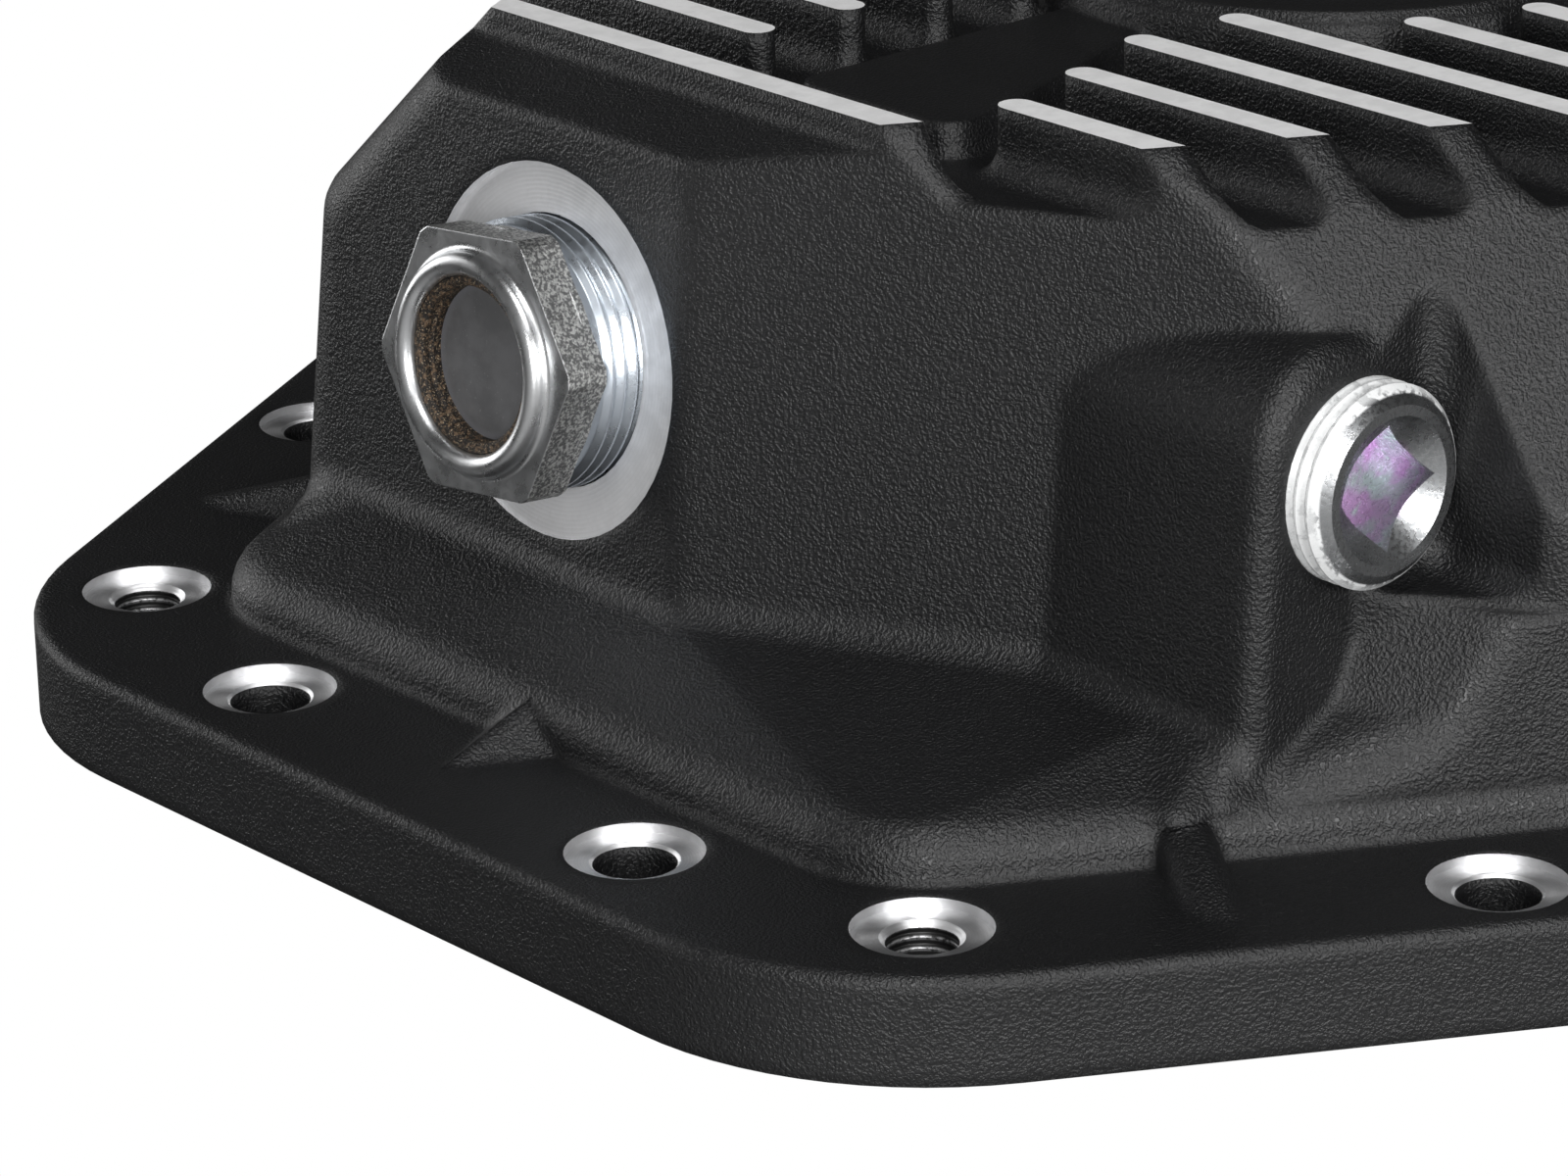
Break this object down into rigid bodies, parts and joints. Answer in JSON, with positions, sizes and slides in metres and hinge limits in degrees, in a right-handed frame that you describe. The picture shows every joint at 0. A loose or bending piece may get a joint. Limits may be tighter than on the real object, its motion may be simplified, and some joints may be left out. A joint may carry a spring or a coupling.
{
  "type": "differential cover",
  "caption": "Six-sided cast cover with cooling fins, bolting flange, threaded filler plug and sight plug; closes the rear opening of a drive axle's differential housing.",
  "frame": {"origin": "middle of the six-sided flange, in the plane of the gasket face", "axes": "+Z away from the gasket face towards the fins, +Y along the fins towards the filler plug's end, +X towards the sight plug"},
  "size_m": [0.293, 0.323, 0.0975],
  "materials": {
    "black_casting": "black powder coat with a fine grain over cast aluminium, bare machined seats and fin tops",
    "plated_steel": "bright zinc plating",
    "clear_glass": "clear",
    "brown_seal": "dark brown, crumbly",
    "plug_steel": "grey plated steel with white thread sealant"
  },
  "bodies": {
    "root": {"cover_casting": "black_casting", "sight_plug_body": "plated_steel", "sight_window": "clear_glass", "sight_seal_ring": "brown_seal", "filler_plug": "plug_steel"}
  },
  "joints": []
}
